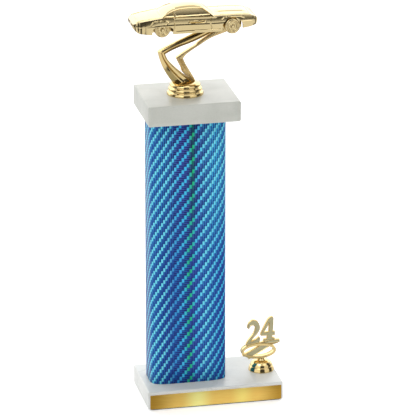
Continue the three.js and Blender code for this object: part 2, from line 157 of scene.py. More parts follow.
def marble(name, pale, cloud, vein, seed):
    """Polished white marble: broad grey clouds, a few thin soft veins and fine crystal speckle."""
    s = Shader(name)
    where = s.add("ShaderNodeVectorMath", {"operation": "ADD"})
    s.feed(where.inputs[0], s.place((1, 1.4, 1.4)))
    where.inputs[1].default_value = (seed, 2.7 * seed, 0.4 * seed)
    where = where.outputs[0]
    clouds = s.noise(22, 5, where, 0.6)
    body = s.ramp(clouds, [(0.3, cloud), (0.62, pale)])
    ridge = s.math("ABSOLUTE", s.math("SUBTRACT", s.noise(13, 6, where, 1.8), 0.5))
    streak = s.ramp(ridge, [(0.0, (1, 1, 1, 1)), (0.035, (0, 0, 0, 1))], "EASE")
    patches = s.ramp(s.noise(9, 2, where), [(0.48, (0, 0, 0, 1)), (0.68, (0.75, 0.75, 0.75, 1))])
    veined = s.mix(s.math("MULTIPLY", streak, patches), body, vein)
    speckle = s.noise(900, 3)
    color = s.mix(0.06, veined, s.ramp(speckle, [(0.35, srgb(190, 190, 186)), (0.65, srgb(255, 255, 255))]))
    s.bump(s.noise(350, 4), 0.00006, 0.4)
    return s.finish(color, s.spread(s.noise(60, 3), 0.28, 0.42))


def gold(name, low, high, roughness, grain, depth):
    """Bright plating: colour and gloss drift a little, and a fine grain breaks the mirror."""
    s = Shader(name, metallic=1.0)
    color = s.mix(s.noise(45, 3), low, high)
    s.bump(s.noise(grain, 3), depth, 0.5)
    return s.finish(color, s.spread(s.noise(120, 4), 0.8 * roughness, 1.25 * roughness))


def plate_gold():
    """Gold-anodised plate, brushed along its length, with painted reflection: broad light and dark bands of
    colour along it, dark at both ends, standing in for the sheen of satin metal.
    """
    s = Shader("plate_gold", metallic=0.65)
    across = s.add("ShaderNodeSeparateXYZ", Vector=s.place()).outputs["X"]
    along = s.spread(across, 0, 1)
    s.feed(along.node.inputs["From Min"], -PLATE["width"] / 2 * MM)
    s.feed(along.node.inputs["From Max"], PLATE["width"] / 2 * MM)
    dark = srgb(180, 140, 50)
    tan = srgb(240, 200, 110)
    warm = srgb(250, 225, 130)
    light = srgb(255, 245, 160)
    # Painted reflection: light and dark bands along the plate's length, dark at both ends.
    bands = s.ramp(along, [
        (0.0, dark), (0.22, tan), (0.36, light), (0.5, tan), (0.6, tan), (0.7, warm), (0.8, tan),
        (1.0, dark),
    ], "EASE")
    strokes = s.noise(1, 4, s.place((60, 60, 4500)))
    grain = s.ramp(strokes, [(0.3, srgb(150, 116, 50)), (0.7, srgb(255, 240, 180))])
    color = s.mix(0.35, bands, grain, "SOFT_LIGHT")
    s.bump(strokes, 0.00002, 0.5)
    return s.finish(color, s.spread(strokes, 0.3, 0.45))


def felt_green():
    s = Shader("felt_green")
    s.surface.inputs["Sheen Weight"].default_value = 0.4
    fibres = s.noise(1400, 5, distortion=2.0)
    s.bump(fibres, 0.0003)
    color = s.ramp(fibres, [(0.3, srgb(28, 52, 40)), (0.7, srgb(62, 92, 72))])
    return s.finish(color, s.spread(fibres, 0.85, 1.0))


def plain(name, low, high, roughness, metallic=0.0, grain=500, depth=0.00003):
    """A moulded, cast or turned surface: two close tones, uneven gloss and fine grain."""
    s = Shader(name, metallic=metallic)
    s.bump(s.noise(grain, 3), depth, 0.6)
    color = s.mix(s.noise(90, 4), low, high)
    return s.finish(color, s.spread(s.noise(200, 3), 0.8 * roughness, 1.2 * roughness))


def threaded(name, low, high, pitch, roughness):
    """Turned metal with a screw thread: ridges that climb by one pitch in each turn, their grooves darker by
    painted shade.
    """
    s = Shader(name, metallic=1.0)
    where = s.add("ShaderNodeSeparateXYZ", Vector=s.place())
    ridges = s.math("SINE", s.math("MULTIPLY", where.outputs["Z"], 2 * math.pi / (pitch * MM)))
    s.bump(ridges, 0.0003)
    # Painted shade: colour darker in the thread's grooves, lighter on its crests.
    color = s.mix(s.spread(ridges, 0.2, 0.8), low, high)
    return s.finish(color, s.spread(s.noise(300, 3), 0.8 * roughness, 1.2 * roughness))


# A raised tow shows its bright tone, a painted highlight, the ground the middle one, and a gap between tows
# the dark one, painted shade.
FOIL_TONES = {
    "cyan": srgb(105, 210, 230), "sky": srgb(60, 180, 225), "blue": srgb(45, 130, 195),
    "deep": srgb(25, 85, 165), "violet": srgb(50, 80, 165), "green": srgb(15, 175, 90),
    "teal": srgb(5, 105, 90), "gap": srgb(15, 45, 130), "night": srgb(10, 20, 85),
}
# Where the tones lie across a face, from its left edge to its right, at the column's top and at its foot.
# These colour bands are painted sheen: the foil's holographic shimmer, which shifts with the view, fixed in
# place.
FOIL_TOP = {
    "bright": [(0.2, "cyan"), (0.35, "sky"), (0.48, "sky"), (0.54, "green"), (0.6, "sky"), (0.7, "cyan")],
    "mid": [(0.2, "blue"), (0.35, "violet"), (0.48, "violet"), (0.54, "teal"), (0.6, "violet"),
            (0.85, "sky"), (1.0, "blue")],
    "dark": [(0.0, "gap"), (0.35, "night"), (0.6, "night"), (0.8, "gap")],
}
FOIL_FOOT = {
    "bright": [(0.15, "cyan"), (0.3, "blue"), (0.42, "sky"), (0.5, "green"), (0.58, "sky"), (0.7, "cyan"),
               (0.9, "sky")],
    "mid": [(0.0, "blue"), (0.2, "deep"), (0.5, "deep"), (0.56, "violet"), (0.72, "blue"), (0.9, "deep")],
    "dark": [(0.0, "gap"), (0.45, "night"), (0.6, "gap")],
}
# Tows across a face, how much closer together they lie at its edges than in its middle, and the
# height in which the weave repeats.
FOIL_TOWS = 34
FOIL_CROWDING = 0.15
FOIL_REPEAT = 13.92


def holographic_foil():
    """Blue holographic foil over a 2/2 twill, each tow a quarter repeat above the one on its left.
    Painted light: the colour bands across each face are the foil's holographic sheen painted in place,
    a dot on each tow's raised spot is a painted highlight, and the gaps between tows and a dark patch
    beside each dot are painted shade.

    UV map "tows" counts the tows round the section and the weave's repeats up it. UV map "face" runs
    round the section, one unit to a column's width, and up the column, one unit to the top.
    """
    s = Shader("holographic_foil", specular_ior_level=0.15)
    s.surface.inputs["Coat Weight"].default_value = 0.05
    s.surface.inputs["Coat Roughness"].default_value = 0.2
    tows = s.add("ShaderNodeSeparateXYZ", Vector=s.add("ShaderNodeUVMap", {"uv_map": "tows"}).outputs["UV"])
    place = s.add("ShaderNodeSeparateXYZ", Vector=s.add("ShaderNodeUVMap", {"uv_map": "face"}).outputs["UV"])
    face = s.math("PINGPONG", place.outputs["X"], 1.0)
    upward = s.spread(place.outputs["Y"], 0, 1)
    upward.node.inputs["From Min"].default_value = 0.45
    upward.node.inputs["From Max"].default_value = 0.78

    tow_index = s.math("FLOOR", tows.outputs["X"])
    in_tow = s.math("SUBTRACT", tows.outputs["X"], tow_index)
    phase = s.math("FRACT", s.math("SUBTRACT", tows.outputs["Y"], s.math("MULTIPLY", tow_index, 0.25)))

    def cell(value, centre, half, soft):
        """1 in the stretch of a unit about centre, fading over soft at each end."""
        shifted = s.math("FRACT", s.math("ADD", value, 0.5 - centre))
        away = s.math("ABSOLUTE", s.math("SUBTRACT", shifted, 0.5))
        return s.add("ShaderNodeMapRange", {"interpolation_type": "SMOOTHSTEP"}, **{
            "Value": away, "From Min": half + soft, "From Max": half - soft,
        }).outputs["Result"]

    # Painted highlight: a bright dot on each tow's raised spot; the same dot also raises the bump below.
    dot = s.math("MULTIPLY", cell(phase, 0.13, 0.15, 0.02), cell(in_tow, 0.45, 0.46, 0.04))
    # Painted shade: a dark patch beside each dot, and dark strokes in the gaps between tows.
    shade = cell(phase, 0.44, 0.18, 0.04)
    stroke = cell(in_tow, 0.85, 0.28, 0.04)
    stripes = s.math("GREATER_THAN", s.math("FRACT", s.math("MULTIPLY", tows.outputs["Y"], 6.0)), 0.5)
    lying = s.ramp(face, [
        (0.27, (0, 0, 0, 1)), (0.33, (1, 1, 1, 1)), (0.48, (1, 1, 1, 1)), (0.53, (0.1, 0.1, 0.1, 1)),
    ])
    streak = s.mix(lying, stroke, stripes)

    # Painted sheen: the holographic colour bands across a face, blended from foot to top.
    def bands(key):
        top = s.ramp(face, [(at, FOIL_TONES[tone]) for at, tone in FOIL_TOP[key]])
        foot = s.ramp(face, [(at, FOIL_TONES[tone]) for at, tone in FOIL_FOOT[key]])
        return s.mix(upward, foot, top)

    flicker = s.noise(1, 2, s.place((420, 420, 300)))
    depth = s.math("ADD", s.math("MULTIPLY", shade, 0.4), 0.8)
    shadow = s.math("ADD", s.math("MULTIPLY", depth, streak), s.math("MULTIPLY", shade, 0.3))
    shadow = s.math("MINIMUM", s.math("MULTIPLY", shadow, s.spread(flicker, 0.6, 1.4)), 1.0)
    ground = s.mix(shadow, bands("mid"), bands("dark"))
    shine = s.math("MINIMUM", s.math("MULTIPLY", dot, s.spread(flicker, 0.7, 1.4)), 1.0)
    color = s.mix(shine, ground, bands("bright"))
    crown = s.math("SINE", s.math("MULTIPLY", in_tow, math.pi))
    s.bump(s.math("ADD", s.math("MULTIPLY", crown, 0.6), s.math("MULTIPLY", dot, 0.4)), 0.00008, 0.3)
    return s.finish(color, s.spread(flicker, 0.3, 0.42))


GOLD_PALE, GOLD_DEEP = (0.77, 0.60, 0.29, 1), (0.70, 0.52, 0.23, 1)
BASE_MARBLE = marble("base_marble", srgb(214, 215, 211), srgb(198, 200, 196), srgb(158, 162, 160), 0.31)
# Painted shade: the lid uses the base's marble drawn darker, a shaded copy of the same stone.
LID_MARBLE_SHADED = marble("lid_marble_painted_shade", srgb(192, 193, 185), srgb(176, 178, 169), srgb(150, 152, 144), 1.13)
MIRROR_GOLD = gold("mirror_gold", GOLD_PALE, GOLD_DEEP, 0.09, 260, 0.00003)
CAR_GOLD = gold("car_gold", (0.76, 0.62, 0.35, 1), (0.69, 0.55, 0.28, 1), 0.12, 320, 0.00003)
KNURLED_GOLD = gold("knurled_gold", (0.72, 0.56, 0.29, 1), (0.62, 0.46, 0.21, 1), 0.26, 900, 0.00006)
FROSTED_GOLD = gold("frosted_gold", (0.66, 0.61, 0.39, 1), (0.57, 0.52, 0.32, 1), 0.5, 1500, 0.00008)
PLATE_GOLD = plate_gold()
FELT_GREEN = felt_green()
FOIL = holographic_foil()
TAPE = plain("tape_film", (0.86, 0.86, 0.82, 1), (0.92, 0.92, 0.9, 1), 0.7)
WHITE_PLASTIC = plain("white_plastic", (0.80, 0.80, 0.78, 1), (0.86, 0.86, 0.85, 1), 0.45)
BRASS = plain("turned_brass", (0.75, 0.57, 0.26, 1), (0.82, 0.66, 0.34, 1), 0.3, 1.0)
STEEL = plain("zinc_steel", (0.56, 0.57, 0.59, 1), (0.66, 0.67, 0.69, 1), 0.32, 1.0)
ROD_THREAD = threaded("rod_thread", (0.40, 0.41, 0.43, 1), (0.68, 0.69, 0.71, 1), 1.27, 0.3)
SCREW_THREAD = threaded("screw_thread", (0.40, 0.41, 0.43, 1), (0.68, 0.69, 0.71, 1), 0.8, 0.3)

# ---------------------------------------------------------------- curves and mesh helpers


def spline(points, count):
    """count points evenly spaced along a smooth curve through the given ones."""
    p = np.array(points, float)
    if len(p) == 2:
        return np.linspace(p[0], p[1], count)
    ends = np.vstack([2 * p[0] - p[1], p, 2 * p[-1] - p[-2]])
    t = np.linspace(0, 1, 24, endpoint=False)[:, None]
    stretches = []
    for a, b, c, d in zip(ends, ends[1:], ends[2:], ends[3:]):
        stretches.append(0.5 * (2 * b + (c - a) * t + (2 * a - 5 * b + 4 * c - d) * t**2
                                + (3 * b - a - 3 * c + d) * t**3))
    fine = np.vstack([*stretches, p[-1:]])
    run = np.concatenate([[0], np.cumsum(np.linalg.norm(np.diff(fine, axis=0), axis=1))])
    even = np.linspace(0, run[-1], count)
    return np.column_stack([np.interp(even, run, fine[:, k]) for k in range(p.shape[1])])


def outline(*stretches, step=0.5):
    """A closed outline of smooth stretches that meet at corners. Each starts where the last one ended."""
    points = [np.array(stretches[0][0], float)]
    for stretch in stretches:
        path = [points[-1], *[np.array(p, float) for p in stretch if not np.allclose(p, points[-1])]]
        length = sum(np.linalg.norm(b - a) for a, b in zip(path, path[1:]))
        count = max(2, int(length / step) + 1)
        points += list(spline(path, count)[1:])
    if np.allclose(points[0], points[-1]):
        points.pop()
    return np.array(points)


def rounded(profile, radius, steps=5):
    """A polyline with each inner corner turned into an arc of about that radius."""
    p = np.array(profile, float)
    out = [p[0]]
    for a, b, c in zip(p, p[1:], p[2:]):
        reach = min(radius, 0.45 * np.linalg.norm(a - b), 0.45 * np.linalg.norm(c - b))
        start = b + (a - b) / np.linalg.norm(a - b) * reach
        end = b + (c - b) / np.linalg.norm(c - b) * reach
        for t in np.linspace(0, 1, steps):
            out.append((1 - t) ** 2 * start + 2 * t * (1 - t) * b + t**2 * end)
    out.append(p[-1])
    return np.array(out)


def through(xs, pairs):
    """The smooth function through (x, value) pairs, at each of xs."""
    px, pv = np.array(pairs, float).T
    slope = np.gradient(pv, px)
    i = np.clip(np.searchsorted(px, xs, side="right") - 1, 0, len(px) - 2)
    h = px[i + 1] - px[i]
    t = np.clip((xs - px[i]) / h, 0, 1)
    return ((1 + 2 * t) * (1 - t) ** 2 * pv[i] + t * (1 - t) ** 2 * h * slope[i]
            + t**2 * (3 - 2 * t) * pv[i + 1] - t**2 * (1 - t) * h * slope[i + 1])


def tube_faces(rings, count, caps=True, close=False):
    """Faces of a skin over rings of count points each."""
    faces = []
    for r in range(rings if close else rings - 1):
        here, there = r * count, ((r + 1) % rings) * count
        for i in range(count):
            j = (i + 1) % count
            faces.append((here + i, here + j, there + j, there + i))
    if caps and not close:
        faces += [tuple(range(count)), tuple(range((rings - 1) * count, rings * count))]
    return faces


def build(name, points, faces):
    """A mesh object, drawn in millimetres, with its faces turned outwards."""
    mesh = bpy.data.meshes.new(name)
    mesh.from_pydata((np.asarray(points, float) * MM).tolist(), [], faces)
    shape = bmesh.new()
    shape.from_mesh(mesh)
    bmesh.ops.remove_doubles(shape, verts=shape.verts, dist=1e-7)
    bmesh.ops.recalc_face_normals(shape, faces=shape.faces)
    shape.to_mesh(mesh)
    shape.free()
    obj = bpy.data.objects.new(name, mesh)
    bpy.context.scene.collection.objects.link(obj)
    return obj


def skin(name, rings, caps=True, close=False):
    rings = np.asarray(rings, float)
    return build(name, rings.reshape(-1, 3), tube_faces(len(rings), rings.shape[1], caps, close))


def lathe(name, profile, sides=96, x=0.0, z=0.0):
    """A closed [radius, height] profile turned about an upright axis. Its ends lie on the axis or meet."""
    angles = np.arange(sides) * 2 * math.pi / sides
    rings = [[(x + r * math.cos(a), r * math.sin(a), z + h) for a in angles] for r, h in profile]
    return skin(name, rings, caps=False)


def ring_of(profile, radius=0.0):
    """A closed profile: the last point joins the first."""
    closed = np.vstack([profile, profile[:1]])
    return rounded(closed, radius) if radius else closed


def cylinder(name, radius, start, end, sides=48):
    """A scratch cylinder between two points, for cutting with."""
    start, end = Vector(start), Vector(end)
    turn = (end - start).to_track_quat("Z", "Y")
    angles = np.arange(sides) * 2 * math.pi / sides
    around = [turn @ Vector((radius * math.cos(a), radius * math.sin(a), 0)) for a in angles]
    return skin(name, [[start + p for p in around], [end + p for p in around]])


def block(name, low, high):
    """A scratch box between two corners, for cutting with."""
    (x0, y0, z0), (x1, y1, z1) = low, high
    return skin(name, [[(x0, y0, z), (x1, y0, z), (x1, y1, z), (x0, y1, z)] for z in (z0, z1)])


def combine(obj, tools, operation):
    """Joins or cuts obj with each scratch tool, and throws the tool away."""
    for tool in tools:
        modifier = obj.modifiers.new("combine", "BOOLEAN")
        modifier.operation = operation
        modifier.solver = "EXACT"
        modifier.object = tool
        settled = bpy.data.meshes.new_from_object(obj.evaluated_get(bpy.context.evaluated_depsgraph_get()))
        obj.modifiers.clear()
        obj.data = settled
        bpy.data.objects.remove(tool)
    return obj


def cut(obj, *tools):
    return combine(obj, tools, "DIFFERENCE")


def join(obj, *tools):
    return combine(obj, tools, "UNION")


def piece(obj, body, materials, stands_for, crease=35):
    """Finishes a visible piece: materials, shading, the body it rides on, the nodes it stands for."""
    if not obj.data.materials:
        for material in materials:
            obj.data.materials.append(material)
    obj.data.shade_smooth()
    obj.data.set_sharp_from_angle(angle=math.radians(crease))
    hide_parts(*stands_for)
    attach(obj, body)
    return obj


def rounded_rectangle(width, depth, corner, inset=0.0, steps=9):
    """Points of a rounded rectangle, drawn in from its edge by inset."""
    radius = max(corner - inset, 0.05)
    x, y = width / 2 - inset - radius, depth / 2 - inset - radius
    points = []
    for quarter, (cx, cy) in enumerate(((x, y), (-x, y), (-x, -y), (x, -y))):
        for angle in np.linspace(0, math.pi / 2, steps) + quarter * math.pi / 2:
            points.append((cx + radius * math.cos(angle), cy + radius * math.sin(angle)))
    return np.array(points)


# ---------------------------------------------------------------- stand


def slab(name, size, x, bottom, top):
    """A stone slab with its edges worn round."""
    ease = size["ease"]
    curve = [(ease * (1 - math.sin(a)), ease * (1 - math.cos(a))) for a in np.linspace(0, math.pi / 2, 7)]
    levels = [(inset, bottom + rise) for inset, rise in curve]
    levels += [(inset, top - rise) for inset, rise in reversed(curve)]
    rings = []
    for inset, z in levels:
        edge = rounded_rectangle(size["width"], size["depth"], size["corner"], inset)
        rings.append([(x + px, py, z) for px, py in edge])
    return skin(name, rings)


def make_base():
    base = slab("marble_base", BASE, 0, BASE_BOTTOM, BASE_TOP)
    cut(
        base,
        cylinder("rod_hole", 3.75, (ROD_X, 0, -5), (ROD_X, 0, 30)),
        cylinder("nut_pocket", 13, (ROD_X, 0, -5), (ROD_X, 0, 10)),
        cylinder("screw_hole", 3, (TRIM_X, 0, -5), (TRIM_X, 0, 30)),
        cylinder("head_pocket", 8, (TRIM_X, 0, -5), (TRIM_X, 0, 9)),
    )
    piece(base, "stand", [BASE_MARBLE], ["base_slab"])


def make_lid():
    lid = slab("marble_lid", LID, LID["x"], LID_BOTTOM, LID_TOP)
    cut(lid, cylinder("rod_hole", 3.75, (ROD_X, 0, 300), (ROD_X, 0, 360)))
    piece(lid, "stand", [LID_MARBLE_SHADED], ["lid_slab"])


def make_name_plate():
    """A thin plate with its front edge eased."""
    levels = [(0.0, 0.0), (0.0, 0.35), (0.05, 0.45), (0.15, 0.5)]
    rings = []
    for inset, rise in levels:
        edge = rounded_rectangle(PLATE["width"], PLATE["height"], 0.6, inset)
        rings.append([(px, PLATE["back"] - rise, PLATE["middle"] + pz) for px, pz in edge])
    plate = skin("gold_name_plate", rings)
    piece(plate, "stand", [PLATE_GOLD], ["name_plate"])


def crowned_section(margin, count):
    """The column's section, a superellipse, as count points evenly spaced from the middle of the back."""
    power = 2 / COLUMN["squareness"]
    angle = np.linspace(0, 2 * math.pi, 4001) + math.pi / 2
    x = np.sign(np.cos(angle)) * np.abs(np.cos(angle)) ** power * (COLUMN["width"] / 2 - margin)
    y = np.sign(np.sin(angle)) * np.abs(np.sin(angle)) ** power * (COLUMN["depth"] / 2 - margin)
    run = np.concatenate([[0], np.cumsum(np.hypot(np.diff(x), np.diff(y)))])
    even = np.linspace(0, run[-1], count, endpoint=False)
    return np.column_stack([np.interp(even, run, x), np.interp(even, run, y)]), run[-1]


def make_column():
    count = 240
    outer, girth = crowned_section(0, count)
    inner, _ = crowned_section(COLUMN["wall"], count)
    lip = 0.25
    eased, _ = crowned_section(lip, count)
    levels = [(eased, BASE_TOP), (outer, BASE_TOP + lip)]
    levels += [(outer, z) for z in np.linspace(BASE_TOP + 20, LID_BOTTOM - 20, 12)]
    levels += [(outer, LID_BOTTOM - lip), (eased, LID_BOTTOM), (inner, LID_BOTTOM), (inner, BASE_TOP)]
    rings = [[(ROD_X + px, py, z) for px, py in section] for section, z in levels]
    column = skin("foil_column", rings, close=True)

    # Round the section, 0 is the front's left edge and 1 its right. The tows run on past both.
    start = (girth - COLUMN["width"]) / 2
    tows, faces = (column.data.uv_layers.new(name=name) for name in ("tows", "face"))
    for polygon in column.data.polygons:
        corners = [column.data.vertices[v].co / MM for v in polygon.vertices]
        gaps = [np.hypot(outer[:, 0] + ROD_X - c.x, outer[:, 1] - c.y) for c in corners]
        nearest = [int(np.argmin(gap)) for gap in gaps]
        around = np.array(nearest) * girth / count
        if around.max() - around.min() > girth / 2:
            around[around < girth / 2] += girth
        share = (around - start) / COLUMN["width"]
        crowd = FOIL_CROWDING * np.sin(2 * math.pi * share) / (2 * math.pi)
        tow = FOIL_TOWS * (share + crowd)
        for loop, corner, across, count_here in zip(polygon.loop_indices, corners, share, tow):
            rise = corner.z - BASE_TOP
            tows.data[loop].uv = (count_here, rise / FOIL_REPEAT)
            faces.data[loop].uv = (across, rise / (LID_BOTTOM - BASE_TOP))
    piece(column, "stand", [FOIL], ["column_tube"], crease=50)


# ---------------------------------------------------------------- riser


def make_riser_foot():
    """Three flared tiers under a flat cap, hollow below round the boss of the threaded insert."""
    tiers = rounded([
        (20.0, 0), (20.0, 0.9), (19.5, 2.6), (17.6, 4.3), (17.5, 4.7), (18.5, 5.4), (18.1, 7.0),
        (16.1, 8.8), (16.0, 9.1), (16.9, 9.8), (16.3, 11.4), (14.4, 12.9), (12.5, 13.5),
    ], 0.5)
    hollow = rounded([
        (3.6, 11.8), (3.6, 9.8), (5.3, 9.8), (5.3, 0.5), (8, 0.5), (8, 9.5), (13, 10), (14.6, 7.5), (16, 4),
        (18.4, 0), (20.0, 0),
    ], 0.3)
    foot = lathe("riser_foot_turned", [*tiers, (0, 13.5), (0, 11.8), *hollow], 120, ROD_X, LID_TOP)
    piece(foot, "figure", [MIRROR_GOLD], ["riser_foot"])


def arm_rings(left, right, section, count, relief=None):
    """Rings of a bar between a left and a right edge, each a list of smooth stretches in the XZ plane.

    section gives (share of the way across, half depth) from left to right.
    """
    def edge(stretches):
        lengths = [max(2, int(count * share)) for share in SHARES]
        parts = [spline(s, n) for s, n in zip(stretches, lengths)]
        return np.vstack([parts[0][:-1], *parts[1:]])

    rings = []
    lefts, rights = edge(left), edge(right)
    for step, (a, b) in enumerate(zip(lefts, rights)):
        front, back = [], []
        for share, half in section:
            x, z = a + (b - a) * share
            if relief:
                half += relief(step / len(lefts), share, np.linalg.norm(b - a))
            front.append((ROD_X + x, -half, LID_TOP + z))
            back.append((ROD_X + x, half, LID_TOP + z))
        rings.append(front + back[::-1])
    return rings


SHARES = (0.42, 0.58)


def make_riser_arms():
    """Two swept arms, each bent at an elbow: the outer one ridged and polished, the inner one knurled."""
    ridged = rounded([
        (0.0, 1.6), (0.04, 3.0), (0.40, 4.5), (0.46, 4.0), (0.58, 1.6), (0.82, 1.4), (0.87, 3.1),
        (0.96, 3.3), (1.0, 2.2),
    ], 0.06, 4)
    outer_left = [
        [(-14, 13.5), (-18.8, 20.3), (-24.3, 30.3), (-28, 40), (-30.2, 48.7)],
        [(-30.2, 48.7), (-27.2, 50.8), (-18.6, 54.8), (-8.8, 59.3), (0.9, 63.2), (9, 66.4), (19, 70),
         (29, 73.7)],
    ]
    outer_right = [
        [(9.5, 13.5), (4.9, 16.8), (-0.3, 20.6), (-5.6, 25.1), (-13, 32.2), (-19.2, 39.4), (-22, 45.8)],
        [(-22, 45.8), (-16, 49), (-6.8, 52.8), (3.2, 56), (11.6, 59), (20, 62.7), (31, 67.8), (42, 73.7)],
    ]
    arms = skin("riser_swept_arms", arm_rings(outer_left, outer_right, ridged, 120))

    flat = rounded([(0.0, 1.6), (0.06, 2.6), (0.5, 3.0), (0.94, 2.6), (1.0, 1.6)], 0.08, 3)
    flat = np.column_stack([np.linspace(0, 1, 17), np.interp(np.linspace(0, 1, 17), *np.array(flat).T)])

    def knurl(along, share, width):
        inside = math.sin(math.pi * share) ** 0.5
        return 0.22 * inside * math.sin(2 * math.pi * (62 * along + 0.5 * width * share))

    inner_left = [
        [(8.5, 14.2), (0.2, 20.8), (-4, 25.6), (-4.9, 29.2), (-8, 35.6), (-10.5, 40.8)],
        [(-10.5, 40.8), (-3.3, 45.6), (4.6, 50.3), (11.2, 53.9), (14.2, 57), (22, 62), (31, 67), (43, 73.7)],
    ]
    inner_right = [
        [(10.7, 13.6), (8.6, 18.6), (4, 26.6), (0.4, 33), (-2.5, 39.6)],
        [(-2.5, 39.6), (1.4, 44.3), (8.3, 49), (17.5, 54.7), (27.1, 60.2), (36.7, 63.8), (46.9, 67.2),
         (56, 73.7)],
    ]
    inner = skin("inner_arm", arm_rings(inner_left, inner_right, flat, 300, knurl))
    arms.data.materials.append(MIRROR_GOLD)
    arms.data.materials.append(KNURLED_GOLD)
    inner.data.materials.append(MIRROR_GOLD)
    inner.data.materials.append(KNURLED_GOLD)
    for face in inner.data.polygons:
        face.material_index = 1
    join(arms, inner)
    join(arms, *[cylinder("peg", 2, (x, 0, LID_TOP + 70.7), (x, 0, LID_TOP + 75.4)) for x in PEGS])
    piece(arms, "figure", [], ["riser_arms"], crease=38)


# ---------------------------------------------------------------- car
# Lengths run from midway between the axles towards the nose, and heights from the wheel centres.

SHOULDER = [
    (-69, 6.8), (-66.5, 8.4), (-58, 10.5), (-49, 11.8), (-38, 13.2), (-25, 13.3), (-10, 12.9), (5, 12.4),
    (19, 12.0), (31, 12.0), (46, 11.6), (55, 11.0), (60.5, 10.0), (64, 8.4), (66, 6.6),
]
UNDERSIDE = [
    (-69, 2.4), (-67.5, 0.6), (-64, -2.1), (-58, -3.4), (-51, -4.3), (-29, -4.7), (0, -4.8), (27, -4.7),
    (40, -3.9), (50, -2.6), (62, -0.6), (65, 0.7), (66, 2.2),
]
HALF_WIDTH = [
    (-69, 14), (-67.5, 16.9), (-63, 19.3), (-57, 20.2), (-40, 21.0), (-10, 20.8), (25, 21.0), (45, 20.7),
    (56, 19.7), (61, 18.6), (64.5, 16.8), (66, 14.8),
]
ROOF = [
    (-42, 12.0), (-38.5, 14.4), (-33, 18.0), (-28, 20.2), (-22, 21.9), (-14, 22.8), (-6, 23.1), (2, 22.7),
    (7, 21.6), (13, 17.6), (19.5, 12.2),
]
SIDE_CREASE = 0.56


def near(values, centre, half):
    """1 at centre, falling smoothly to 0 at half away."""
    t = np.clip(1 - np.abs(values - centre) / half, 0, 1)
    return t * t * (3 - 2 * t)


def between(values, low, high, soft):
    """1 from low to high, fading to 0 over soft on each side."""
    rise = np.clip((values - low) / soft + 0.5, 0, 1)
    fall = np.clip((high - values) / soft + 0.5, 0, 1)
    return rise * fall


def to_line(x, z, points):
    """How far each (x, z) is from a polyline."""
    best = np.full(np.broadcast(x, z).shape, 1e9)
    for (ax, az), (bx, bz) in zip(points, points[1:]):
        span = np.array([bx - ax, bz - az])
        t = np.clip(((x - ax) * span[0] + (z - az) * span[1]) / span.dot(span), 0, 1)
        best = np.minimum(best, np.hypot(x - ax - t * span[0], z - az - t * span[1]))
    return best


SIDE_GROOVES = [
    [(-25.5, 12.6), (-25.0, 5.0), (-27.0, -3.4)],
    [(14.5, 11.8), (14.0, 4.0), (15.5, -3.4)],
    [(-50.5, 6.3), (-48.5, 9.4), (-45.0, 10.2), (-34.0, 10.2), (-31.0, 9.2), (-34.5, 6.3)],
    [(26.0, 8.0), (28.5, 10.2), (33.0, 10.8), (47.0, 10.4), (51.0, 8.6)],
    [(-24.0, -1.6), (24.0, -1.6)],
]


def hull_rings():
    """Rings round the lower body, with its crease, door lines, handle recess and lamp panels pressed in."""
    xs = np.concatenate([
        np.linspace(-69, -67, 8, endpoint=False), np.linspace(-67, 64, 300, endpoint=False),
        np.linspace(64, 66, 10),
    ])
    low, high, half = (through(xs, pairs)[:, None] for pairs in (UNDERSIDE, SHOULDER, HALF_WIDTH))
    x = xs[:, None]

    t = np.linspace(0, 1, 44)[None, :]
    z_side = low + t * (high - low)
    lower = 0.955 + 0.045 * np.sin(np.clip(t / SIDE_CREASE, 0, 1) * math.pi / 2)
    upper = 1 - 0.052 * np.clip((t - SIDE_CREASE) / (1 - SIDE_CREASE), 0, 1) ** 1.2
    y_side = half * np.minimum(lower, upper)
    y_side = y_side - 0.45 * between(t, SIDE_CREASE, 2, 0.03) * between(x, -67.5, 63.5, 2)
    for path in SIDE_GROOVES:
        y_side = y_side - 0.45 * near(to_line(x, z_side, path), 0, 0.5)
    recess = between(x, -9.5, 8.5, 1.2) * between(z_side, 6.5, 8.3, 0.7)
    y_side = y_side - 1.3 * recess
    rail = near(z_side - high, -0.9, 0.55) * between(x, -24, 20, 2)
    y_side = y_side + 0.35 * rail

    s = np.linspace(1, 0, 34)[None, 1:]
    edge = 0.948 * half - 0.32
    y_top = edge * s
    crown = 0.9 * between(x, -67, 62, 6)
    z_top = high + crown * (1 - s**2) - 0.55 * near(s, 0.9, 0.07) * between(x, -66, 60, 3)
    hood_seam = near(to_line(x, y_top, [(20.5, 15.2), (46, 14.6), (57, 13.2), (57.5, 0)]), 0, 0.5)
    deck_seam = near(to_line(x, y_top, [(-45, 14.8), (-63.5, 13.6), (-64, 0)]), 0, 0.5)
    z_top = z_top - 0.45 * hood_seam - 0.45 * deck_seam
    bulge = between(x, 24, 54, 5) * between(y_top, -1, 5.5, 2.2)
    z_top = z_top + 0.7 * bulge

    rings = []
    for i in range(len(xs)):
        right = [(xs[i], -y, z) for y, z in zip(y_side[i], z_side[i])]
        right += [(xs[i], -y, z) for y, z in zip(y_top[i], z_top[i])]
        left = [(px, -py, pz) for px, py, pz in reversed(right[:-1])]
        rings.append(right + left)
    return np.array(rings)


